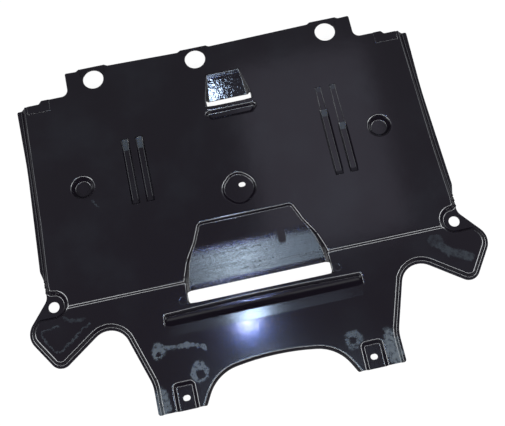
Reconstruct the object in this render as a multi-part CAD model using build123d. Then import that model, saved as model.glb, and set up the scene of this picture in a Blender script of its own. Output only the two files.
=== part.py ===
"""Engine splash shield: one moulded plastic pan that closes an engine bay from below.

It is drawn lying down, road side up: x runs across the vehicle, y runs forward and z
points to the road. While it is drawn, y = 0 is the line of the two ear holes and z = 0
is the road side of the main skin; it is moved to its own frame at the end.
"""
from build123d import *
from math import cos, radians, sin, tan
import os

# The sheet, and the heights of its skins
WALL = 2.5  # thickness of the sheet
TRAY_HEIGHT = 9.0  # main skin above the rim that runs round the pan
REAR_DROP = 3.0  # rear skin below the main skin
LEAN = 35.0  # degrees between the pan's walls and the upright
TOP_RADIUS = 4.5  # rounding on the road side where a skin turns down into a wall
RIM = 5.0  # width of the rim outside the foot of the wall

# The step across the pan, from the main skin down to the rear skin
STEP_TOP_Y, STEP_FOOT_Y = -4.4, -9.0
STEP_TOP_RADIUS, STEP_FOOT_RADIUS = 8.0, 6.0

# Outline; the flank, the ear and the front are placed from the neck between pan and ear
NECK_X, NECK_Y = 354.4, 45.0
FLANK_REAR_X, FLANK_REAR_Y = NECK_X + 5.0, 64.6
FLANK_WAIST_X, FLANK_WAIST_Y = NECK_X + 0.5, 249.0
RIM_CORNER_X, RIM_FRONT = NECK_X + 3.5, 364.1
CORNER_X, CORNER_Y = RIM_CORNER_X - 14.9, 366.3
SHOULDER_X, SHOULDER_Y, SHOULDER_RUN = CORNER_X - 32.0, 372.3, 5.0
TAB_HALF, TAB_FRONT, TAB_DIP = SHOULDER_X - 49.0, 416.0, 4.5
EAR_NECK_Y = 14.6
EAR_TIP = (NECK_X + 43.7, -39.4)
EAR_HEEL = (NECK_X - 4.1, -111.6)
BAY_CORNER = (NECK_X - 107.7, -38.2)
LEG_OUT_X, LEG_TURN_Y = 205.3, -162.4
LEG_IN_X, REAR_Y = 125.5, -212.5
ARCH_TURN, ARCH_TOP_X, ARCH_TOP_Y = (100.9, -166.2), 33.0, -155.7
LIP_OUT = 0.7  # foot of the rolled rear lip, past the edge that trims it

# Roundings of the outline, as seen from above
EDGE_ROUND, SMALL_ROUND, SHOULDER_ROUND, FLANK_ROUND = 3.0, 0.6, 12.0, 1000.0
NECK_ROUND, EAR_NECK_ROUND, EAR_TIP_ROUND, EAR_HEEL_ROUND = 8.0, 20.0, 30.0, 19.0
BAY_ROUND, LEG_TURN_ROUND, LEG_END_ROUND = 33.5, 60.0, 4.0
ARCH_TURN_ROUND, ARCH_TOP_ROUND = 68.0, 400.0

# Foot of the pan's wall where it doesn't keep to the outline
WALL_FRONT_X, WALL_WAIST, WALL_WAIST_ROUND = NECK_X - 5.4, (NECK_X - 3.5, 150.0), 600.0
WALL_NECK_GAP, WALL_NECK_ROUND, WALL_SEAT_ROUND = 0.2, 60.0, 9.5
WALL_EAR_X, WALL_EAR_ROUND = NECK_X + 18.7, 12.0

# Holes
EAR_HOLE_X, EAR_HOLE_RADIUS = NECK_X - 9.4, 9.3
SEAT_RADIUS, SEAT_Y, SEAT_EASE = 17.0, 1.5, 1.0
FRONT_HOLE_X, FRONT_HOLE_Y, FRONT_HOLE_RADIUS = TAB_HALF - 48.8, TAB_FRONT - 21.8, 18.4
MIDDLE_HOLE_X, MIDDLE_HOLE_Y = -27.2, TAB_FRONT - 23.3
LEG_SLOT_X, LEG_SLOT_Y, LEG_SLOT_LENGTH, LEG_SLOT_WIDTH = 155.8, -193.4, 12.0, 9.4
SERVICE_SLOT_X, SERVICE_SLOT_Y, SERVICE_SLOT_LENGTH, SERVICE_SLOT_WIDTH = 6.5, 142.4, 12.0, 8.8

# Flats at the front holes, and the low steps at the front corners
BUMP_HALF, BUMP_RAMP, BUMP_HEIGHT, BUMP_ROUND = 22.0, 7.0, 4.0, 4.0
HOLE_FLAT_HALF, HOLE_FLAT_Y, HOLE_FLAT_DROP = 22.5, TAB_FRONT - 12.0, 1.4
CORNER_STEP_IN_X, CORNER_STEP_OUT_X = SHOULDER_X - 13.0, CORNER_X - 6.0
CORNER_STEP_Y, CORNER_STEP_RISE = 351.5, 1.2

# Round cups
CUP_X, CUP_Y, CUP_RADIUS, CUP_DEPTH, CUP_LEAN = 263.8, 195.5, 19.8, 11.0, 27.0

# Service recess: a square on its corner with large roundings
RECESS_Y, RECESS_HALF, RECESS_ROUND, RECESS_DEPTH = 136.0, 39.0, 24.0, 4.5

# Stiffening grooves: x, front end, rear end, and the length of the front ramp
GROOVE_WIDTH, GROOVE_DEPTH, GROOVE_LEAN = 13.0, 3.2, 25.0
GROOVE_RADIUS, GROOVE_START, CHANNEL_FLAT = 3.0, 0.3, 0.5
GROOVES = [(-178.0, 267.0, 146.0, 20.0), (-152.5, 267.0, 146.0, 20.0),
           (175.0, 245.5, 122.0, 12.0), (201.0, 215.5, 122.0, 12.0)]
SHALLOW_WIDTH, SHALLOW_DEPTH, SHALLOW_RAMP, SHALLOW_FRONT, SHALLOW_START = 10.0, 0.9, 9.0, 289.5, 0.2
GROOVE_RUN_OUT = 10.0

# Large scoop with its slot and the trough behind it
SCOOP_FRONT_HALF, SCOOP_FRONT_Y, SCOOP_FRONT_ROUND = 81.2, 89.2, 8.0
SCOOP_FLANK = [(94.5, 57.5, 40.0), (111.5, 29.0, 60.0), (122.5, -3.0, 60.0)]
SCOOP_REAR_HALF = 123.6
SCOOP_STEP, SCOOP_DEPTH, SCOOP_LEAN = 5.0, 15.5, 22.0
SCOOP_FLAT_Y, SCOOP_FLAT_ROUND, SCOOP_LIP_Y, SCOOP_LIP_ROUND = 42.0, 110.0, -12.5, 28.0
SLOT_FRONT_Y, SLOT_REAR_Y, SLOT_HALF, SLOT_ROUND = -20.0, -44.3, 122.2, 6.5
TROUGH_HALF, TROUGH_FRONT_Y, TROUGH_BOW, TROUGH_BOW_ROUND, TROUGH_ROUND = 167.5, -54.2, 4.0, 3000.0, 4.0
TROUGH_FLOOR_Y, TROUGH_REAR_Y, TROUGH_DEPTH, TROUGH_LEAN = -59.7, -75.1, 8.0, 20.0
BANK_RISE, BANK_REAR_Y, BANK_HALF, BANK_FADE = 1.2, -92.0, TROUGH_HALF - 7.5, 6.0

# Small scoop, off centre, with its slot and wedge: left and right sides at three stations
INLET_FRONT, INLET_FRONT_Y = (-14.0, 45.5), 357.0
INLET_SLOT_FRONT, INLET_SLOT_FRONT_Y = (-22.5, 55.0), 312.0
INLET_SLOT_REAR, INLET_SLOT_REAR_Y = (-24.2, 57.2), 295.5
INLET_LEAN, INLET_DEPTH = 15.0, 15.5
INLET_RADIUS, INLET_START = 4.0, 0.3
INLET_SLOT_ROUND, INLET_SLOT_LAND = 4.5, 0.6
WEDGE_FRONT_Y, WEDGE_REAR_Y, WEDGE_DEPTH, WEDGE_ROUND = 288.3, 270.3, 6.5, 6.0
WEDGE_FRONT_X, WEDGE_REAR_X = (-37.5, 68.5), (-20.0, 52.5)

# Bolt pockets in the two legs
POCKET_IN_X, POCKET_OUT_X, POCKET_FRONT_Y, POCKET_DEPTH, POCKET_ROUND = 138.3, 174.4, -168.0, 7.0, 8.0

# Short ribs across the rim beside each ear
NECK_RIBS_Y, NECK_RIB_WIDTH, NECK_RIB_TOP, NECK_RIB_IN = (44.5, 35.0, 25.5), 2.6, 3.4, 4.8

FAR = 60.0  # how far a cutting shape runs past what it cuts
WIDE = 1000.0  # across and along a block that holds the whole pan


def both(half):
    """A right half outline and its mirror image, as one closed list of corners."""
    return half + [(-x, y, r) for x, y, r in reversed(half)]


def plan(corners):
    """The flat face inside a closed run of (x, y, rounding) corners."""
    line = FilletPolyline(*[(x, y) for x, y, r in corners],
                          radius=[r for x, y, r in corners], close=True)
    return make_face(line)


def inset(corners, distance):
    """The same corners moved inwards by a distance, with their roundings kept concentric."""
    moved = []
    count = len(corners)
    turning = sum(corners[i - 1][0] * corners[i][1] - corners[i][0] * corners[i - 1][1]
                  for i in range(count))
    side = 1 if turning > 0 else -1
    for i, (x, y, rounding) in enumerate(corners):
        before = Vector(*corners[i - 1][:2])
        here = Vector(x, y)
        after = Vector(*corners[(i + 1) % count][:2])
        arriving = (here - before).normalized()
        leaving = (after - here).normalized()
        inward = [Vector(-d.Y, d.X) * side for d in (arriving, leaving)]
        bisector = (inward[0] + inward[1]).normalized()
        step = bisector * (distance / bisector.dot(inward[0]))
        outer_corner = (arriving.X * leaving.Y - arriving.Y * leaving.X) * side > 0
        if rounding:
            rounding += -distance if outer_corner else distance
        moved.append((x + step.X, y + step.Y, rounding))
    return moved


def skin_shift(depth, lean):
    """How far a leaning wall moves in plan between the outer skin and one a depth below it."""
    return depth * (1 - sin(radians(lean))) / cos(radians(lean))


def frustum(corners, low, high, lean, grows=False):
    """A solid between two heights whose walls lean inwards on the way up, or outwards."""
    shift = (high - low) * tan(radians(lean))
    upper = inset(corners, -shift if grows else shift)
    return loft([Pos(0, 0, low) * plan(corners), Pos(0, 0, high) * plan(upper)], ruled=True)


def sunk(corners, top, bottom, lean, depth):
    """A cutting shape that narrows downwards; its outline is given at the height top."""
    grown = inset(corners, -skin_shift(depth, lean))
    low = bottom - depth
    lowest = inset(grown, (top - bottom) * tan(radians(lean)))
    return frustum(lowest, low, top - depth + TOP_RADIUS, lean, grows=True)


def side_profile(points, reach=FAR * 10):
    """A solid that runs across the pan, from its (y, z, rounding) outline seen from the side."""
    line = FilletPolyline(*[(y, z) for y, z, r in points],
                          radius=[r for y, z, r in points], close=True)
    return extrude(Plane.YZ * make_face(line), amount=reach, both=True)


def bump(x, base, front):
    """Corners of the low tongue that stands forward of a front hole, from right to left."""
    wide, top = BUMP_HALF + BUMP_RAMP, BUMP_HALF
    return [(x + wide, base, BUMP_ROUND), (x + top, front, BUMP_ROUND),
            (x - top, front, BUMP_ROUND), (x - wide, base, BUMP_ROUND)]


def front_edge(x):
    """Height of the slightly hollow front edge at a distance x from the middle."""
    return TAB_FRONT - TAB_DIP * (1 - abs(x) / TAB_HALF)


def outline_corners():
    """The edge of the moulding as it is trimmed, as (x, y, rounding) corners."""
    side = [(TAB_HALF, TAB_FRONT, EDGE_ROUND), (TAB_HALF, SHOULDER_Y, SHOULDER_ROUND),
            (SHOULDER_X, SHOULDER_Y, EDGE_ROUND), (SHOULDER_X + SHOULDER_RUN, CORNER_Y, EDGE_ROUND),
            (CORNER_X, CORNER_Y, SMALL_ROUND), (CORNER_X, RIM_FRONT, SMALL_ROUND),
            (RIM_CORNER_X, RIM_FRONT, EDGE_ROUND), (FLANK_WAIST_X, FLANK_WAIST_Y, FLANK_ROUND),
            (FLANK_REAR_X, FLANK_REAR_Y, NECK_ROUND), (NECK_X, NECK_Y, NECK_ROUND),
            (NECK_X, EAR_NECK_Y, EAR_NECK_ROUND), (*EAR_TIP, EAR_TIP_ROUND), (*EAR_HEEL, EAR_HEEL_ROUND),
            (*BAY_CORNER, BAY_ROUND), (LEG_OUT_X, LEG_TURN_Y, LEG_TURN_ROUND),
            (LEG_OUT_X, REAR_Y, LEG_END_ROUND), (LEG_IN_X, REAR_Y, LEG_END_ROUND),
            (*ARCH_TURN, ARCH_TURN_ROUND), (ARCH_TOP_X, ARCH_TOP_Y, ARCH_TOP_ROUND)]
    front = []
    for x in (-FRONT_HOLE_X, MIDDLE_HOLE_X, FRONT_HOLE_X):
        base = front_edge(x)
        front += bump(x, base, base + BUMP_HEIGHT)[::-1]
    return both(side) + front


def tray_corners():
    """The foot of the pan's wall on the rim; it runs past the edge at the front and rear."""
    half = outline_corners()[:19]
    low = inset(both(half), RIM)
    seat_left = EAR_HOLE_X - SEAT_RADIUS - SEAT_Y
    seat_top = SEAT_Y + SEAT_RADIUS + SEAT_EASE
    seat_low = SEAT_Y - SEAT_RADIUS - SEAT_EASE
    past = REAR_Y - FAR
    run = (LEG_IN_X - ARCH_TURN[0]) / (ARCH_TURN[1] - REAR_Y)
    side = [(WALL_FRONT_X, TAB_FRONT + FAR / 2, 0), (*WALL_WAIST, WALL_WAIST_ROUND),
            (NECK_X - WALL_NECK_GAP, NECK_Y - RIM, WALL_NECK_ROUND),
            (NECK_X - WALL_NECK_GAP - SEAT_EASE, seat_top, WALL_SEAT_ROUND),
            (seat_left, seat_top, SEAT_RADIUS), (seat_left, seat_low, SEAT_RADIUS),
            (WALL_EAR_X, seat_low, WALL_EAR_ROUND), *low[11:15], (LEG_OUT_X - RIM, past, 0),
            (ARCH_TURN[0] + run * (ARCH_TURN[1] - past), past, 0),
            (ARCH_TURN[0], ARCH_TURN[1] - LIP_OUT, ARCH_TURN_ROUND),
            (ARCH_TOP_X, ARCH_TOP_Y - LIP_OUT, ARCH_TOP_ROUND)]
    return both(side)


def soften(shape, edges, radius, depth):
    """Edges made round on the road side; on the engine side, below it, they stay crisp."""
    return shape if depth else fillet(edges, radius)


def tray(depth):
    """The raised pan on a thick slab, for the skin that lies a depth below the road side."""
    rim_top = -TRAY_HEIGHT - depth
    rear_skin = -REAR_DROP - depth
    past = REAR_Y - 2 * FAR
    pan = frustum(inset(tray_corners(), skin_shift(depth, LEAN)), rim_top, -depth, LEAN)
    pan &= side_profile([(WIDE, rim_top - 1, 0), (WIDE, FAR, 0), (FAR, FAR, 0), (FAR, -depth, 0),
                         (STEP_TOP_Y, -depth, STEP_TOP_RADIUS - depth),
                         (STEP_FOOT_Y, rear_skin, STEP_FOOT_RADIUS - depth),
                         (past, rear_skin, 0), (past, rim_top - 1, 0)])
    rims = [e for e in pan.edges()
            if e.bounding_box().min.Z > rear_skin - 0.001 and e.bounding_box().size.X < EAR_HOLE_X]
    slab = Pos(0, 0, rim_top - FAR / 2) * Box(WIDE, WIDE, FAR)
    return slab + soften(pan, rims, TOP_RADIUS, depth)


def corner_steps(depth):
    """The low steps on the two front corners of the main skin."""
    width = CORNER_STEP_OUT_X - CORNER_STEP_IN_X
    top = CORNER_STEP_RISE - depth
    step = Box(width, FAR, CORNER_STEP_RISE + WALL, align=(Align.CENTER, Align.MIN, Align.MAX))
    return [Pos(side * (CORNER_STEP_IN_X + width / 2), CORNER_STEP_Y, top) * step for side in (1, -1)]


def cup(x, depth):
    """A round cup with a flat floor and a leaning wall."""
    top = CUP_RADIUS + skin_shift(depth, CUP_LEAN)
    slope = tan(radians(CUP_LEAN))
    low, high = -CUP_DEPTH - depth, TOP_RADIUS - depth
    floor = Circle(top + low * slope + depth * slope)
    mouth = Circle(top + TOP_RADIUS * slope)
    return Pos(x, CUP_Y, 0) * loft([Pos(0, 0, low) * floor, Pos(0, 0, high) * mouth], ruled=True)


def service_recess(depth):
    """The square recess that stands on its corner round the service slot."""
    corners = [(RECESS_HALF, RECESS_Y, RECESS_ROUND), (0, RECESS_Y + RECESS_HALF, RECESS_ROUND),
               (-RECESS_HALF, RECESS_Y, RECESS_ROUND), (0, RECESS_Y - RECESS_HALF, RECESS_ROUND)]
    return sunk(corners, 0, -RECESS_DEPTH, LEAN, depth)


def channel(stations, lean, full, radius, depth):
    """A channel from (y, left, right, depth) stations; its roundings fade with its depth."""
    sections = []
    for y, left, right, fall in stations:
        fade = fall / full
        grow = skin_shift(depth, lean) * fade
        run = fall * tan(radians(lean))
        rim = 0 if depth else radius * fade
        flat = rim * tan(radians(90 - lean) / 2) + CHANNEL_FLAT * fade
        low, high = left - grow, right + grow
        points = [(low - flat, TOP_RADIUS, 0), (low - flat, 0, 0), (low, 0, rim),
                  (low + run, -fall, 0), (high - run, -fall, 0), (high, 0, rim),
                  (high + flat, 0, 0), (high + flat, TOP_RADIUS, 0)]
        line = FilletPolyline(*[(x, z - depth) for x, z, r in points],
                              radius=[r for x, z, r in points], close=True)
        across = Plane(origin=(0, y, 0), x_dir=(1, 0, 0), z_dir=(0, -1, 0))
        sections.append(across * make_face(line))
    return loft(sections, ruled=True)


def groove(x, front, rear, ramp, depth):
    """A stiffening groove with a ramp at its front end and a short run-out at its rear."""
    left, right = x - GROOVE_WIDTH / 2, x + GROOVE_WIDTH / 2
    stations = [(front, left, right, GROOVE_START), (front - ramp, left, right, GROOVE_DEPTH),
                (rear + GROOVE_RUN_OUT, left, right, GROOVE_DEPTH), (rear, left, right, GROOVE_START)]
    return channel(stations, GROOVE_LEAN, GROOVE_DEPTH, GROOVE_RADIUS, depth)


def inlet(depth):
    """The small scoop, whose floor falls away from its front end."""
    stations = [(INLET_FRONT_Y, *INLET_FRONT, INLET_START),
                (INLET_SLOT_FRONT_Y, *INLET_SLOT_FRONT, INLET_DEPTH),
                (INLET_SLOT_REAR_Y, *INLET_SLOT_REAR, INLET_DEPTH)]
    return channel(stations, INLET_LEAN, INLET_DEPTH, INLET_RADIUS, depth)


def shallow_lead(x, rear, depth):
    """The faint hollow that leads into a groove from the front."""
    left, right = x - SHALLOW_WIDTH / 2, x + SHALLOW_WIDTH / 2
    stations = [(SHALLOW_FRONT, left, right, SHALLOW_START),
                (SHALLOW_FRONT - SHALLOW_RAMP, left, right, SHALLOW_DEPTH),
                (rear, left, right, SHALLOW_DEPTH)]
    return channel(stations, GROOVE_LEAN, GROOVE_DEPTH, GROOVE_RADIUS, depth)


def scoop(depth):
    """The large scoop; its rear end is the rear edge of the slot that is cut there."""
    half = [(SCOOP_FRONT_HALF, SCOOP_FRONT_Y, SCOOP_FRONT_ROUND), *SCOOP_FLANK,
            (SCOOP_REAR_HALF, SLOT_FRONT_Y, 0), (SCOOP_REAR_HALF, SLOT_REAR_Y - FAR, 0)]
    tool = sunk(both(half), 0, -SCOOP_DEPTH, SCOOP_LEAN, depth)
    low, step = -SCOOP_DEPTH - depth, -SCOOP_STEP - depth
    return tool & side_profile([(SCOOP_FRONT_Y + FAR, FAR, 0), (SLOT_REAR_Y, FAR, 0), (SLOT_REAR_Y, low, 0),
                                (SCOOP_LIP_Y, low, SCOOP_LIP_ROUND + depth),
                                (SCOOP_FLAT_Y, step, SCOOP_FLAT_ROUND - depth),
                                (SCOOP_FRONT_Y + FAR, step, 0)])


def trough(depth):
    """The cross trough behind the slot, with its bowed front edge."""
    grow = skin_shift(depth, TROUGH_LEAN)
    corners = [(TROUGH_HALF, TROUGH_REAR_Y - FAR, 0), (TROUGH_HALF, TROUGH_FRONT_Y, TROUGH_ROUND),
               (0, TROUGH_FRONT_Y + TROUGH_BOW, TROUGH_BOW_ROUND),
               (-TROUGH_HALF, TROUGH_FRONT_Y, TROUGH_ROUND), (-TROUGH_HALF, TROUGH_REAR_Y - FAR, 0)]
    floor = -REAR_DROP - TROUGH_DEPTH
    tool = sunk(corners, -REAR_DROP, floor, TROUGH_LEAN, depth)
    crest = BANK_RISE - REAR_DROP
    slope = (crest - floor) / (TROUGH_FLOOR_Y - TROUGH_REAR_Y)
    rear = TROUGH_REAR_Y - grow / 2
    return tool & side_profile([(TROUGH_FRONT_Y + FAR, FAR, 0), (rear - FAR / slope, crest - depth + FAR, 0),
                                (TROUGH_FLOOR_Y, floor - depth, 0),
                                (TROUGH_FRONT_Y + FAR, floor - depth, 0)])


def bank(depth):
    """The low bank that rises to the rear edge of the trough."""
    base, crest = -REAR_DROP - depth, BANK_RISE - REAR_DROP - depth
    slope = side_profile([(BANK_REAR_Y, base, 0), (TROUGH_REAR_Y, crest, 0), (TROUGH_FLOOR_Y, crest, 0),
                          (TROUGH_FLOOR_Y, base - 1, 0), (BANK_REAR_Y, base - 1, 0)])
    ends = Polyline((-BANK_HALF - BANK_FADE, base - 1), (-BANK_HALF - BANK_FADE, base), (-BANK_HALF, crest),
                    (BANK_HALF, crest), (BANK_HALF + BANK_FADE, base), (BANK_HALF + BANK_FADE, base - 1),
                    close=True)
    return slope & extrude(Plane.XZ * make_face(ends), amount=FAR * 3, both=True)


def wedge(depth):
    """The recess behind the small slot, narrow at its rear."""
    corners = [(WEDGE_FRONT_X[1], WEDGE_FRONT_Y, WEDGE_ROUND), (WEDGE_FRONT_X[0], WEDGE_FRONT_Y, WEDGE_ROUND),
               (WEDGE_REAR_X[0], WEDGE_REAR_Y, WEDGE_ROUND), (WEDGE_REAR_X[1], WEDGE_REAR_Y, WEDGE_ROUND)]
    return sunk(corners, 0, -WEDGE_DEPTH, LEAN, depth)


def pocket(side, depth):
    """The flat-bottomed pocket round the bolt slot of one leg; it runs out at the rear."""
    rear = REAR_Y - POCKET_ROUND - 1
    corners = [(POCKET_IN_X, POCKET_FRONT_Y, POCKET_ROUND), (POCKET_OUT_X, POCKET_FRONT_Y, POCKET_ROUND),
               (POCKET_OUT_X, rear, POCKET_ROUND), (POCKET_IN_X, rear, POCKET_ROUND)]
    bottom = -REAR_DROP - POCKET_DEPTH
    return sunk([(side * x, y, r) for x, y, r in corners], -REAR_DROP, bottom, LEAN, depth)


def front_flats(depth):
    """Cutters for the shallow steps down in front of the front holes."""
    drop = FAR / 2 - HOLE_FLAT_DROP - depth
    return [Pos(x, HOLE_FLAT_Y + FAR / 2, drop) * Box(2 * HOLE_FLAT_HALF, FAR, FAR)
            for x in (-FRONT_HOLE_X, MIDDLE_HOLE_X, FRONT_HOLE_X)]


def skin(depth):
    """A thick block whose top is the skin that lies a depth below the outer one."""
    body = tray(depth) + bank(depth) + corner_steps(depth)
    hollows = [cup(CUP_X, depth), cup(-CUP_X, depth), service_recess(depth), scoop(depth), trough(depth),
               wedge(depth), pocket(1, depth), pocket(-1, depth)]
    cut = body - hollows
    rims = [e for e in new_edges(body, *hollows, combined=cut)
            if e.bounding_box().min.Z > -REAR_DROP - depth - 0.01
            and abs(e.center().Y - SLOT_REAR_Y) > 0.01]
    soft = soften(cut, rims, TOP_RADIUS, depth)
    channels = [inlet(depth)] + [groove(*place, depth) for place in GROOVES]
    channels += [shallow_lead(x, front - ramp, depth) for x, front, rear, ramp in GROOVES if x > 0]
    return soft - channels - front_flats(depth)


def slot(x, y, length, width, rounding):
    """A cutter for a slot that goes right through the sheet."""
    shape = RectangleRounded(length, width, rounding)
    return Pos(x, y, -FAR) * extrude(shape, amount=2 * FAR)


def through_hole(x, y, radius):
    """A cutter for a round hole that goes right through the sheet."""
    return Pos(x, y, 0) * Cylinder(radius, 2 * FAR)


def slot_between(left, right, rear, front, rounding):
    """A cutter for a slot given by its four sides."""
    return slot((left + right) / 2, (rear + front) / 2, right - left, front - rear, rounding)


def openings():
    """Every hole and slot of the shield."""
    cuts = [slot_between(-SLOT_HALF, SLOT_HALF, SLOT_REAR_Y, SLOT_FRONT_Y, SLOT_ROUND),
            slot_between(INLET_SLOT_REAR[0] + INLET_SLOT_LAND, INLET_SLOT_REAR[1] - INLET_SLOT_LAND,
                         INLET_SLOT_REAR_Y, INLET_SLOT_FRONT_Y, INLET_SLOT_ROUND),
            slot(SERVICE_SLOT_X, SERVICE_SLOT_Y, SERVICE_SLOT_LENGTH, SERVICE_SLOT_WIDTH,
                 SERVICE_SLOT_WIDTH / 2 - 0.01),
            through_hole(MIDDLE_HOLE_X, MIDDLE_HOLE_Y, FRONT_HOLE_RADIUS)]
    for side in (1, -1):
        cuts.append(through_hole(side * EAR_HOLE_X, 0, EAR_HOLE_RADIUS))
        cuts.append(through_hole(side * FRONT_HOLE_X, FRONT_HOLE_Y, FRONT_HOLE_RADIUS))
        cuts.append(slot(side * LEG_SLOT_X, LEG_SLOT_Y, LEG_SLOT_LENGTH, LEG_SLOT_WIDTH,
                         LEG_SLOT_WIDTH / 2 - 0.01))
    return cuts


def neck_ribs():
    """The short ribs that stand in the corner between wall and rim beside each ear."""
    foot = -TRAY_HEIGHT - WALL / 2
    length = NECK_RIB_IN + FAR
    rib = Box(length, NECK_RIB_WIDTH, -NECK_RIB_TOP - foot, align=(Align.CENTER, Align.CENTER, Align.MIN))
    middle = NECK_X - NECK_RIB_IN + length / 2
    return Part() + [Pos(side * middle, y, foot) * rib for y in NECK_RIBS_Y for side in (1, -1)]


def shield():
    """The whole shield: the sheet between two skins, trimmed to its outline and pierced."""
    sheet = skin(0) - skin(WALL)
    trim = extrude(Pos(0, 0, -FAR) * plan(outline_corners()), amount=2 * FAR)
    sheet &= trim
    sheet += neck_ribs() & trim
    return sheet - openings()


part = shield()
box = part.bounding_box()
centre_y = (box.min.Y + box.max.Y) / 2
part = Pos(0, -centre_y, -box.min.Z) * part
print("size", part.bounding_box().size, "volume", part.volume, "solids", len(part.solids()))
os.makedirs("parts", exist_ok=True)
export_step(part, "parts/splash_shield.step")
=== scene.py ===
"""Engine splash shield: one black moulded pan, lying road side up on a pale floor."""
import math

import bmesh
import bpy
from mathutils import Matrix, Vector
from mathutils.bvhtree import BVHTree


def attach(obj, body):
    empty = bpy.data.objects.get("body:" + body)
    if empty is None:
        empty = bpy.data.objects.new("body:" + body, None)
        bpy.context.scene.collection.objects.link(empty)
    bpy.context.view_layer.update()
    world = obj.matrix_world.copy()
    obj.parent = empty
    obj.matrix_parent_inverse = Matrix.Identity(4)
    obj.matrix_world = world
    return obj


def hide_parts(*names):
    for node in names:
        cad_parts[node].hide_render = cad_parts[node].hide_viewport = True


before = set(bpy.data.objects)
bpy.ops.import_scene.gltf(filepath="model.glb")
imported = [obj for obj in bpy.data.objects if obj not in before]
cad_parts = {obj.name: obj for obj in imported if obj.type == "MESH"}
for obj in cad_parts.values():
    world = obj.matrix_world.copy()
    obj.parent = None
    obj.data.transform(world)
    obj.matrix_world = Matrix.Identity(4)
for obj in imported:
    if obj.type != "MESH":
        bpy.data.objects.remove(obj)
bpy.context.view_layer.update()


# Camera: stands over the rear of the shield and looks down at it, a little askew, as when a
# large flat part is photographed on the floor of a studio.
PHOTO_WIDTH = 505
FOCAL_PIXELS = 908.8
SENSOR_MM = 36.0
CAMERA_PLACE = Vector((-0.0460, -0.4715, 1.4967))
CAMERA_RIGHT = Vector((0.97736, -0.21006, -0.02549))
CAMERA_UP = Vector((0.20812, 0.93257, 0.29494))

lens = bpy.data.cameras.new("camera")
lens.sensor_width = SENSOR_MM
lens.lens = SENSOR_MM * FOCAL_PIXELS / PHOTO_WIDTH
camera = bpy.data.objects.new("camera", lens)
backwards = CAMERA_RIGHT.cross(CAMERA_UP)
turn = Matrix((CAMERA_RIGHT, CAMERA_UP, backwards)).transposed().to_4x4()
camera.matrix_world = Matrix.Translation(CAMERA_PLACE) @ turn
bpy.context.scene.collection.objects.link(camera)
bpy.context.scene.camera = camera
bpy.context.scene.view_settings.view_transform = "Standard"


# Floor: a white paper sweep that fills the photograph's view. It glows for the camera and
# through clear things, and faintly for walls that mirror it. To everything else it is a dark
# sheet, so that it throws no light on the pan.
FLOOR_HALF = 6.0
FLOOR_COLOUR = (0.03, 0.03, 0.03, 1)
FLOOR_ROUGHNESS = 0.9
FLOOR_GLOW_COLOUR = (1, 1, 1, 1)
FLOOR_GLOW = 0.95
FLOOR_MIRRORED = 0.15  # the share of that glow which glossy walls mirror

floor_mesh = bpy.data.meshes.new("floor")
sheet = bmesh.new()
bmesh.ops.create_grid(sheet, x_segments=1, y_segments=1, size=FLOOR_HALF)
sheet.to_mesh(floor_mesh)
sheet.free()
floor = bpy.data.objects.new("floor", floor_mesh)
bpy.context.scene.collection.objects.link(floor)

sweep = bpy.data.materials.new("floor_sweep")
sweep.use_nodes = True
nodes, links = sweep.node_tree.nodes, sweep.node_tree.links


def wire(value, socket):
    """Feeds a socket from another node's output, or sets it to a plain value."""
    if isinstance(value, bpy.types.NodeSocket):
        links.new(value, socket)
    else:
        socket.default_value = value


def maths(operation, first, second=0.0):
    """A maths node on two numbers, in the node tree that is being made."""
    node = nodes.new("ShaderNodeMath")
    node.operation = operation
    wire(first, node.inputs[0])
    wire(second, node.inputs[1])
    return node.outputs[0]


paper = nodes["Principled BSDF"]
paper.inputs["Base Color"].default_value = FLOOR_COLOUR
paper.inputs["Roughness"].default_value = FLOOR_ROUGHNESS
paper.inputs["Emission Color"].default_value = FLOOR_GLOW_COLOUR
rays = nodes.new("ShaderNodeLightPath").outputs
seen = maths("MAXIMUM", rays["Is Camera Ray"], rays["Is Transmission Ray"])
mirrored = maths("MULTIPLY", rays["Is Glossy Ray"], FLOOR_MIRRORED)
glow = maths("MULTIPLY", maths("MAXIMUM", seen, mirrored), FLOOR_GLOW)
wire(glow, paper.inputs["Emission Strength"])
floor_mesh.materials.append(sweep)


# Room: a dim ceiling, which the flat skins mirror as near black, and a paler band round its
# left and right sides, which draws a thin line on the rounded edges.
ROOM_COLOUR = (0.90, 0.95, 1.0, 1)
BAND_STRENGTH = 4.6
CEILING, CEILING_OVERHEAD = 0.048, 0.028
# How high a direction points, from level at 0 to overhead at 1, and the strength there.
BAND = [(0.0, 0.0), (0.51, 0.0), (0.57, 1.0), (0.74, 1.0),
        (0.79, CEILING), (0.92, CEILING), (0.98, CEILING_OVERHEAD)]
BAND_REACH = 0.35  # how far the band runs round towards the front and the rear
BAND_FADE = 0.20

room = bpy.data.worlds.new("room")
room.use_nodes = True
nodes, links = room.node_tree.nodes, room.node_tree.links


def ramp(value, low, high, to_low=0.0, to_high=1.0):
    """A smooth change from to_low to to_high while the value goes from low to high."""
    node = nodes.new("ShaderNodeMapRange")
    node.interpolation_type = "SMOOTHSTEP"
    wire(value, node.inputs["Value"])
    for name, number in {"From Min": low, "From Max": high, "To Min": to_low, "To Max": to_high}.items():
        wire(number, node.inputs[name])
    return node.outputs["Result"]


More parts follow.
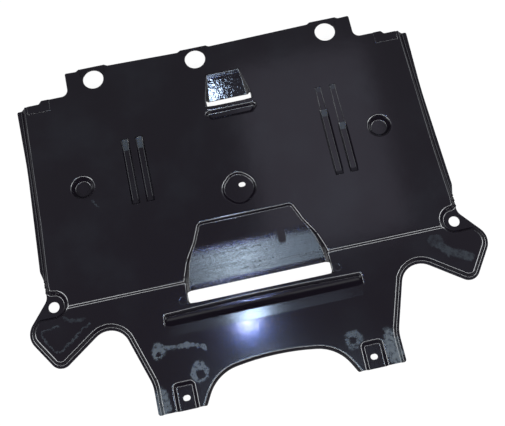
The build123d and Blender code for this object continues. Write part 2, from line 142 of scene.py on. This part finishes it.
direction = nodes.new("ShaderNodeSeparateXYZ")
links.new(nodes.new("ShaderNodeTexCoord").outputs["Generated"], direction.inputs[0])
by_height = nodes.new("ShaderNodeValToRGB")
stops = by_height.color_ramp.elements
while len(stops) < len(BAND):
    stops.new(1.0)
for stop, (height, strength) in zip(stops, BAND):
    stop.position = height
    stop.color = (strength, strength, strength, 1)
links.new(direction.outputs["Z"], by_height.inputs["Fac"])
off_side = maths("ABSOLUTE", direction.outputs["Y"])
sideways = ramp(off_side, BAND_REACH, BAND_REACH + BAND_FADE, 1.0, 0.0)
side_band = maths("MULTIPLY", by_height.outputs["Color"], sideways)
ceiling_only = maths("MINIMUM", by_height.outputs["Color"], CEILING)
room_light = maths("MULTIPLY", maths("MAXIMUM", side_band, ceiling_only), BAND_STRENGTH)
nodes["Background"].inputs["Color"].default_value = ROOM_COLOUR
links.new(room_light, nodes["Background"].inputs["Strength"])
bpy.context.scene.world = room


# Lamps: rectangular softboxes that shine straight down. A wide one with a bright core hangs
# where the rear slope of the large scoop mirrors it, a spot and a strip over the bank behind
# the trough, a blue spot with a white core over the skin behind the bank, a faint panel over
# the front on the right, and broad strips to the left, to the right and behind the camera.
STRIP_WHITE = (0.95, 0.98, 1.0)


def softbox(name, place, width, depth, watts, colour):
    """Hangs a rectangular area light that shines straight down."""
    data = bpy.data.lights.new(name, "AREA")
    data.shape = "RECTANGLE"
    data.size = width
    data.size_y = depth
    data.energy = watts
    data.color = colour
    lamp = bpy.data.objects.new(name, data)
    lamp.location = place
    bpy.context.scene.collection.objects.link(lamp)


softbox("scoop_wide", place=(0.060, -0.292, 1.52), width=0.48, depth=0.16, watts=1.9,
        colour=(0.58, 0.78, 1.0))
softbox("scoop_core", place=(-0.01, -0.292, 1.50), width=0.05, depth=0.16, watts=1.4,
        colour=(0.70, 0.85, 1.0))
softbox("bank_spot", place=(-0.002, -0.118, 1.50), width=0.08, depth=0.03, watts=1.2,
        colour=(0.55, 0.72, 1.0))
softbox("bank_strip", place=(0.05, -0.118, 1.52), width=0.56, depth=0.03, watts=0.04,
        colour=(0.60, 0.75, 1.0))
softbox("skin_spot", place=(-0.020, 0.066, 1.50), width=0.05, depth=0.06, watts=0.8,
        colour=(0.10, 0.24, 1.0))
softbox("skin_core", place=(-0.020, 0.074, 1.48), width=0.02, depth=0.03, watts=0.45,
        colour=(1.0, 0.98, 0.95))
softbox("left_strip", place=(-1.46, -0.28, 1.25), width=0.66, depth=1.10, watts=38.0,
        colour=STRIP_WHITE)
softbox("right_strip", place=(1.46, -0.28, 1.25), width=0.66, depth=1.10, watts=38.0,
        colour=STRIP_WHITE)
softbox("right_panel", place=(0.36, 0.665, 1.60), width=0.50, depth=0.73, watts=0.68,
        colour=(0.82, 0.80, 1.0))
softbox("rear_strip", place=(0.0, -1.05, 1.50), width=3.0, depth=0.36, watts=52.0,
        colour=STRIP_WHITE)


# Moulded pan: one sheet of polypropylene, pressed into scoops, a trough, cups and grooves.
# It starts as the CAD sheet with its flat facets joined. The feet of its walls are eased, its
# roundings are smooth, and the bank behind the trough keeps its crisp lines.
SMOOTH_ANGLE = math.radians(30)
FLAT_ANGLE = math.radians(0.4)
BANK_ANGLE = math.radians(1.5)
MERGE_DISTANCE = 1e-6
FOOT_ANGLE = math.radians(35)
FACES_UP = 0.6
FOOT_OFFSET = 0.0013
FOOT_SEGMENTS = 3
DRAWING_Y = 0.10333  # the drawing's zero line, the ear holes, lies this far behind the middle
TROUGH_HALF, TROUGH_FRONT, TROUGH_REAR, BANK_REAR = 0.1745, -0.049, -0.0745, -0.0925

pan = bmesh.new()
pan.from_mesh(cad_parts["splash_shield"].data)
bmesh.ops.remove_doubles(pan, verts=pan.verts, dist=MERGE_DISTANCE)
bmesh.ops.dissolve_degenerate(pan, edges=pan.edges, dist=MERGE_DISTANCE)
bmesh.ops.dissolve_limit(pan, angle_limit=FLAT_ANGLE, verts=pan.verts, edges=pan.edges)
pan.normal_update()


def lies_between(edge, rear, front):
    """Whether an edge lies in the trough's width, between two of the drawing's lines."""
    return all(abs(v.co.x) < TROUGH_HALF and rear < v.co.y + DRAWING_Y < front for v in edge.verts)


feet = [edge for edge in pan.edges
        if len(edge.link_faces) == 2 and edge.calc_face_angle_signed() < -FOOT_ANGLE
        and max(face.normal.z for face in edge.link_faces) > FACES_UP
        and not lies_between(edge, TROUGH_REAR, TROUGH_FRONT)]
bmesh.ops.bevel(pan, geom=feet, offset=FOOT_OFFSET, offset_type="OFFSET", segments=FOOT_SEGMENTS,
                profile=0.5, affect="EDGES", clamp_overlap=False, material=-1)
for face in pan.faces:
    face.smooth = True
for edge in pan.edges:
    angle = edge.calc_face_angle(0.0)
    on_bank = lies_between(edge, BANK_REAR, TROUGH_REAR) and angle > BANK_ANGLE
    edge.smooth = angle < SMOOTH_ANGLE and not on_bank
pan_mesh = bpy.data.meshes.new("moulded_pan")
pan.to_mesh(pan_mesh)
pan_surface = BVHTree.FromBMesh(pan)
pan.free()
moulded_pan = bpy.data.objects.new("moulded_pan", pan_mesh)
bpy.context.scene.collection.objects.link(moulded_pan)

NORMAL_WEIGHT = 100  # the most that the largest face can count


def weight_normals(piece, keep_sharp):
    """Lets the largest faces of a piece set its smooth shading."""
    weighted = piece.modifiers.new("face_weighted_normals", "WEIGHTED_NORMAL")
    weighted.mode = "FACE_AREA"
    weighted.weight = NORMAL_WEIGHT
    weighted.keep_sharp = keep_sharp


weight_normals(moulded_pan, keep_sharp=True)

# Its black polypropylene comes from a polished tool: semi-gloss, with a fine grain, a little
# orange peel and grey smears from handling. Faint clouds of painted sheen stand for reflections
# on slight warps, and painted highlights lie on the ramps at the ends of the grooves. Places on
# the pan are in the drawing's millimetres, and a noise is its scale, its detail and its roughness.
MM = 0.001
ALL_DEPTHS = 1000.0  # a pattern scaled by this in Z is the same at every depth
BLACK = (0.0038, 0.0028, 0.0044, 1)
HAZE_AND_SHEEN = (0.027, 0.034, 0.040, 1)
ROUGHNESS, SMEAR_ROUGHNESS, SPECK_ROUGHNESS = 0.12, 0.45, 0.12
REFRACTIVE_INDEX = 1.5

plastic = bpy.data.materials.new("black_polypropylene")
plastic.use_nodes = True
nodes, links = plastic.node_tree.nodes, plastic.node_tree.links
skin = nodes["Principled BSDF"]
skin.inputs["IOR"].default_value = REFRACTIVE_INDEX
own = nodes.new("ShaderNodeTexCoord").outputs["Object"]
own_axes = nodes.new("ShaderNodeSeparateXYZ")
links.new(own, own_axes.inputs[0])


def noise(place, scale, detail, roughness):
    """The outputs of a noise texture at a place."""
    node = nodes.new("ShaderNodeTexNoise")
    wire(place, node.inputs["Vector"])
    node.inputs["Scale"].default_value = scale
    node.inputs["Detail"].default_value = detail
    node.inputs["Roughness"].default_value = roughness
    return node.outputs


def strongest(values):
    """The largest of several values."""
    total = values[0]
    for value in values[1:]:
        total = maths("MAXIMUM", total, value)
    return total


# Smears: patches and strokes of haze. Their edges are ragged, because they are drawn on
# coordinates that a noise shifts to and fro.
RAGGED_NOISE = (70.0, 6.0, 0.75)
RAGGED_SHIFT = 0.011
PATCH_INSIDE, PATCH_OUTSIDE = 0.75, 1.1
STROKE_INSIDE, STROKE_OUTSIDE = 0.6, 1.15

ragged = nodes.new("ShaderNodeVectorMath")
ragged.operation = "MULTIPLY_ADD"
wire(noise(own, *RAGGED_NOISE)["Color"], ragged.inputs[0])
ragged.inputs[1].default_value = (2 * RAGGED_SHIFT, 2 * RAGGED_SHIFT, 0.0)
wire(own, ragged.inputs[2])


def placed(x, y, scale, angle, crisp):
    """Coordinates on the pan from a place of the drawing, turned and scaled, ragged or crisp."""
    node = nodes.new("ShaderNodeMapping")
    node.vector_type = "TEXTURE"
    wire(own if crisp else ragged.outputs[0], node.inputs["Vector"])
    shift = 0.0 if crisp else RAGGED_SHIFT
    node.inputs["Location"].default_value = (x * MM + shift, y * MM - DRAWING_Y + shift, 0)
    node.inputs["Rotation"].default_value = (0, 0, angle)
    node.inputs["Scale"].default_value = (scale[0] * MM, scale[1] * MM, ALL_DEPTHS)
    return node.outputs[0]


def distance_from(x, y, half_x, half_y, turned=0.0, crisp=True):
    """Distance from an ellipse's middle, which is 1 on its edge."""
    length = nodes.new("ShaderNodeVectorMath")
    length.operation = "LENGTH"
    links.new(placed(x, y, (half_x, half_y), math.radians(turned), crisp), length.inputs[0])
    return length.outputs["Value"]


def patch(x, y, half_x, half_y, turned=0.0, strength=1.0):
    """A ragged patch of haze."""
    away = distance_from(x, y, half_x, half_y, turned, crisp=False)
    return ramp(away, PATCH_INSIDE, PATCH_OUTSIDE, strength, 0.0)


def stroke(points, half_width, strength, crisp=False):
    """A band of haze along a line of points."""
    near = None
    for (x0, y0), (x1, y1) in zip(points, points[1:]):
        axes = nodes.new("ShaderNodeSeparateXYZ")
        slant = math.atan2(y1 - y0, x1 - x0)
        links.new(placed((x0 + x1) / 2, (y0 + y1) / 2, (1, 1), slant, crisp), axes.inputs[0])
        reach = math.hypot(x1 - x0, y1 - y0) / 2
        past_end = maths("MAXIMUM", maths("SUBTRACT", maths("ABSOLUTE", axes.outputs["X"]), reach), 0.0)
        square = maths("ADD", maths("POWER", past_end, 2.0), maths("POWER", axes.outputs["Y"], 2.0))
        away = maths("SQRT", square)
        near = away if near is None else maths("MINIMUM", near, away)
    return ramp(near, half_width * STROKE_INSIDE, half_width * STROKE_OUTSIDE, strength, 0.0)


# Three of the patches have a hole in them and lie on the rear skin, and the first trails a
# tail. The others lie on the legs and the ears, with a scratch by the left cup. A patch is x,
# y, half its width, half its length, its turn in degrees and its strength.
rings = [patch(-186, -110, 12, 14, 0, 0.75), patch(-127, -158, 16, 18, 0, 0.75),
         patch(129, -160, 16, 16, 0, 0.55)]
holes = [patch(-186, -116, 4, 4), patch(-126, -163, 7, 8), patch(128, -161, 6, 8)]
tail = stroke([(-175, -108), (-160, -110), (-143, -109), (-124, -112), (-113, -121)], 4.5, 0.75)
leg_patches = [patch(189, -186, 14, 36, 4, 0.85), patch(-196, -194, 15, 26, 0, 0.7)]
right_ear = [stroke([(308, -38), (323, -52), (352, -66)], 8, 0.34), patch(304, -28, 14, 12, 0, 0.22)]
left_ear = [stroke([(-290, -41), (-320, -60), (-345, -78), (-352, -75), (-371, -45), (-368, -37),
                    (-340, -35)], 1.6, 0.4),
            stroke([(-330, -24), (-318, -30), (-296, -31)], 3.0, 0.3)]
cup_scratch = stroke([(-251, 168), (-243, 154)], 1.2, 0.5)
open_rings = maths("MULTIPLY", strongest(rings), maths("SUBTRACT", 1.0, strongest(holes)))
smears = strongest([open_rings, tail, *leg_patches, *right_ear, *left_ear, cup_scratch])

# The smears are mottled, the skins have faint clouds of painted sheen that stand for reflections
# on slight warps of the sheet, and tiny specks lie over all.
MOTTLE_NOISE, MOTTLE_LOW, MOTTLE_HIGH, MOTTLE_LEAST = (160.0, 5.0, 0.7), 0.30, 0.58, 0.25
CLOUD_NOISE, CLOUD_LOW, CLOUD_HIGH, CLOUD_SHEEN = (9.0, 4.0, 0.55), 0.42, 0.80, 0.08
SPECK_NOISE, SPECK_LOW, SPECK_HIGH, SPECK_SHARE = (900.0, 2.0, 0.6), 0.66, 0.80, 0.35

mottle = ramp(noise(own, *MOTTLE_NOISE)["Fac"], MOTTLE_LOW, MOTTLE_HIGH, MOTTLE_LEAST, 1.0)
sheen_clouds = ramp(noise(own, *CLOUD_NOISE)["Fac"], CLOUD_LOW, CLOUD_HIGH, 0.0, CLOUD_SHEEN)
specks = ramp(noise(own, *SPECK_NOISE)["Fac"], SPECK_LOW, SPECK_HIGH, 0.0, SPECK_SHARE)
haze_and_sheen = maths("MAXIMUM", maths("MULTIPLY", smears, mottle), sheen_clouds)

# Painted highlights where the rear-facing ramps at the ends of the grooves mirror the light,
# crisp pale rectangles: x, rear end, front end and strength.
GROOVE_END_HIGHLIGHT_HALF = 4.6
GROOVE_END_HIGHLIGHT_EDGE = 0.6
GROOVE_END_HIGHLIGHTS = [(-178.0, 247.0, 267.0, 0.50), (-152.5, 247.0, 267.0, 0.55),
          (175.0, 233.5, 245.5, 0.45), (201.0, 203.5, 215.5, 0.50),
          (175.0, 280.5, 289.5, 0.18), (201.0, 280.5, 289.5, 0.28)]

groove_end_highlights = []
for x, rear, front, strength in GROOVE_END_HIGHLIGHTS:
    across = maths("ABSOLUTE", maths("SUBTRACT", own_axes.outputs["X"], x * MM))
    middle = (rear + front) / 2 * MM - DRAWING_Y
    along = maths("ABSOLUTE", maths("SUBTRACT", own_axes.outputs["Y"], middle))
    outside = maths("MAXIMUM", maths("SUBTRACT", across, GROOVE_END_HIGHLIGHT_HALF * MM),
                    maths("SUBTRACT", along, (front - rear) / 2 * MM))
    groove_end_highlights.append(ramp(outside, -GROOVE_END_HIGHLIGHT_EDGE * MM, GROOVE_END_HIGHLIGHT_EDGE * MM, strength, 0.0))
# The painted highlights join the haze; they grey the black and dull its gloss there.
haze_and_sheen = maths("MAXIMUM", haze_and_sheen, strongest(groove_end_highlights))

# The two round marks beside the slot, each a faint pale ring round a shallow disc.
MARK_X, MARK_Y, MARK_RADIUS, MARK_DEPTH = 132, -36.5, 6.5, 0.00012
MARK_INSIDE = 0.75
RING_INSIDE, RING_OUTSIDE, RING_HAZE = 0.95, 1.25, 0.14

left_mark, right_mark = [distance_from(x, MARK_Y, MARK_RADIUS, MARK_RADIUS) for x in (-MARK_X, MARK_X)]
near_mark = maths("MINIMUM", left_mark, right_mark)
ring = maths("MULTIPLY", ramp(near_mark, MARK_INSIDE, RING_INSIDE),
             ramp(near_mark, 1.0, RING_OUTSIDE, RING_HAZE, 0.0))
haze_and_sheen = maths("MAXIMUM", haze_and_sheen, ring)
marks = maths("MULTIPLY", ramp(near_mark, MARK_INSIDE, 1.0, 1.0, 0.0), -MARK_DEPTH)

# The rear slope of the large scoop keeps the tool's frosted grain: sparkles, with fine lines
# across it. The grain stops round the pad on the crease.
FROST_Y, FROST_HALF_X, FROST_HALF_Y, FROST_EDGE = 20, 130, 80, 0.97
FROST_Z, FROST_Z_FADE = 0.0135, 0.0004
FROST_FRONT, FROST_FRONT_FADE = 56, 12
SPARKLE_NOISE, SPARKLE_HEIGHT, SPARKLE_ROUGHNESS = (420.0, 2.0, 0.7), 0.00009, 0.10
LINE_NOISE, LINE_HEIGHT, LINE_ROUGHNESS = (330.0, 2.0, 0.5), 0.00007, 0.06
LINE_STRETCH = (0.04, 1.0, 0.2)
FROST_LOW, FROST_HIGH = 0.40, 0.60
BARE_LINE, BARE_HALF = [(53.0, 56), (53.0, 32)], 7.5

in_scoop = ramp(distance_from(0, FROST_Y, FROST_HALF_X, FROST_HALF_Y), FROST_EDGE, 1.0, 1.0, 0.0)
below = ramp(own_axes.outputs["Z"], FROST_Z - FROST_Z_FADE, FROST_Z, 1.0, 0.0)
front_line = FROST_FRONT * MM - DRAWING_Y
behind = ramp(own_axes.outputs["Y"], front_line - FROST_FRONT_FADE * MM, front_line, 1.0, 0.0)
bare = stroke(BARE_LINE, BARE_HALF, 1.0, crisp=True)
frost = maths("MULTIPLY", maths("MULTIPLY", in_scoop, below), behind)
frost = maths("MULTIPLY", frost, maths("SUBTRACT", 1.0, bare))
drawn_out = nodes.new("ShaderNodeVectorMath")
drawn_out.operation = "MULTIPLY"
drawn_out.inputs[1].default_value = LINE_STRETCH
links.new(own, drawn_out.inputs[0])
frost_lines = noise(drawn_out.outputs[0], *LINE_NOISE)["Fac"]
sparkle = noise(own, *SPARKLE_NOISE)["Fac"]
frost_roughness = maths("ADD", ramp(sparkle, FROST_LOW, FROST_HIGH, 0.0, SPARKLE_ROUGHNESS),
                        ramp(frost_lines, FROST_LOW, FROST_HIGH, 0.0, LINE_ROUGHNESS))
frost_height = maths("ADD", maths("MULTIPLY", sparkle, SPARKLE_HEIGHT),
                     maths("MULTIPLY", frost_lines, LINE_HEIGHT))

# The ramp of the small scoop is glossier than the rest and rippled.
INLET_X, INLET_Y, INLET_HALF_X, INLET_HALF_Y, INLET_EDGE = 16.5, 335, 48, 30, 0.95
INLET_Z, INLET_Z_FADE = 0.0155, 0.0006
INLET_POLISH = 0.07
RIPPLE_NOISE, RIPPLE_HEIGHT = (150.0, 3.0, 0.6), 0.00012

in_inlet = ramp(distance_from(INLET_X, INLET_Y, INLET_HALF_X, INLET_HALF_Y), INLET_EDGE, 1.0, 1.0, 0.0)
sunk = ramp(own_axes.outputs["Z"], INLET_Z - INLET_Z_FADE, INLET_Z, 1.0, 0.0)
rippled = maths("MULTIPLY", in_inlet, sunk)
ripple = maths("MULTIPLY", noise(own, *RIPPLE_NOISE)["Fac"], maths("MULTIPLY", rippled, RIPPLE_HEIGHT))

# Colour and roughness: the haze of the smears, with the painted sheen and painted highlights,
# greys the black and dulls its gloss.
tone = nodes.new("ShaderNodeMix")
tone.data_type = "RGBA"
wire(haze_and_sheen, tone.inputs["Factor"])
tone.inputs["A"].default_value = BLACK
tone.inputs["B"].default_value = HAZE_AND_SHEEN
links.new(tone.outputs["Result"], skin.inputs["Base Color"])
rough = ramp(haze_and_sheen, 0.0, 1.0, ROUGHNESS, SMEAR_ROUGHNESS)
rough = maths("ADD", rough, maths("MULTIPLY", specks, SPECK_ROUGHNESS))
rough = maths("SUBTRACT", rough, maths("MULTIPLY", rippled, INLET_POLISH))
rough = maths("ADD", rough, maths("MULTIPLY", frost, frost_roughness))
wire(rough, skin.inputs["Roughness"])

# Relief: edges eased by the tool, orange peel, grain, frost, ripples and the round marks.
EASED_RADIUS, EASED_SAMPLES = 0.0005, 6
PEEL_NOISE, PEEL_HEIGHT = (45.0, 2.0, 0.5), 0.00006
GRAIN_NOISE, GRAIN_HEIGHT = (1400.0, 2.0, 0.6), 0.0000035

eased = nodes.new("ShaderNodeBevel")
eased.samples = EASED_SAMPLES
eased.inputs["Radius"].default_value = EASED_RADIUS
peel = maths("MULTIPLY", noise(own, *PEEL_NOISE)["Fac"], PEEL_HEIGHT)
grain = maths("MULTIPLY", noise(own, *GRAIN_NOISE)["Fac"], GRAIN_HEIGHT)
fine = maths("ADD", maths("ADD", peel, grain), maths("MULTIPLY", frost_height, frost))
relief = nodes.new("ShaderNodeBump")
relief.inputs["Strength"].default_value = 1.0
relief.inputs["Distance"].default_value = 1.0
wire(maths("ADD", maths("ADD", marks, ripple), fine), relief.inputs["Height"])
links.new(eased.outputs[0], relief.inputs["Normal"])
links.new(relief.outputs[0], skin.inputs["Normal"])

pan_mesh.materials.append(plastic)
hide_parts("splash_shield")
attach(moulded_pan, "root")


# Pad on the crease of the large scoop: a short block of the same moulding with rounded
# corners, level with the scoop's front floor. Its foot is sunk a little in the rear slope.
PAD_X, PAD_FRONT, PAD_REAR, PAD_HALF, PAD_CORNER = 0.0530, -0.0453, -0.0765, 0.0066, 0.0036
PAD_CORNER_POINTS = 32
PAD_SINK, PAD_SEAT, PAD_EASE = 0.00005, 0.0006, 0.0006
EASE_SEGMENTS = 2


def pan_height(x, y):
    """Height of the pan's road side at a place."""
    return pan_surface.ray_cast(Vector((x, y, 1)), Vector((0, 0, -1)))[0].z


pad_top = pan_height(PAD_X, PAD_FRONT) - PAD_SINK
pad = bmesh.new()
bmesh.ops.create_circle(pad, cap_ends=True, segments=PAD_CORNER_POINTS, radius=PAD_CORNER)
for point in pad.verts:
    aside = math.copysign(PAD_HALF - PAD_CORNER, point.co.x)
    middle = PAD_REAR + PAD_CORNER if point.co.y < MERGE_DISTANCE else PAD_FRONT - PAD_CORNER
    point.co += Vector((PAD_X + aside, middle, pad_top))
lowered = bmesh.ops.extrude_face_region(pad, geom=pad.faces[:])["geom"]
for point in lowered:
    if isinstance(point, bmesh.types.BMVert):
        point.co.z = min(pan_height(point.co.x, point.co.y), pad_top) - PAD_SEAT
bmesh.ops.recalc_face_normals(pad, faces=pad.faces)
rim = [edge for edge in pad.edges if all(abs(v.co.z - pad_top) < MERGE_DISTANCE for v in edge.verts)]
bmesh.ops.bevel(pad, geom=rim, offset=PAD_EASE, offset_type="OFFSET", segments=EASE_SEGMENTS,
                profile=0.5, affect="EDGES", material=-1)
for face in pad.faces:
    face.smooth = True
pad_mesh = bpy.data.meshes.new("crease_pad")
pad.to_mesh(pad_mesh)
pad.free()
crease_pad = bpy.data.objects.new("crease_pad", pad_mesh)
bpy.context.scene.collection.objects.link(crease_pad)
weight_normals(crease_pad, keep_sharp=False)
pad_mesh.materials.append(plastic)
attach(crease_pad, "root")
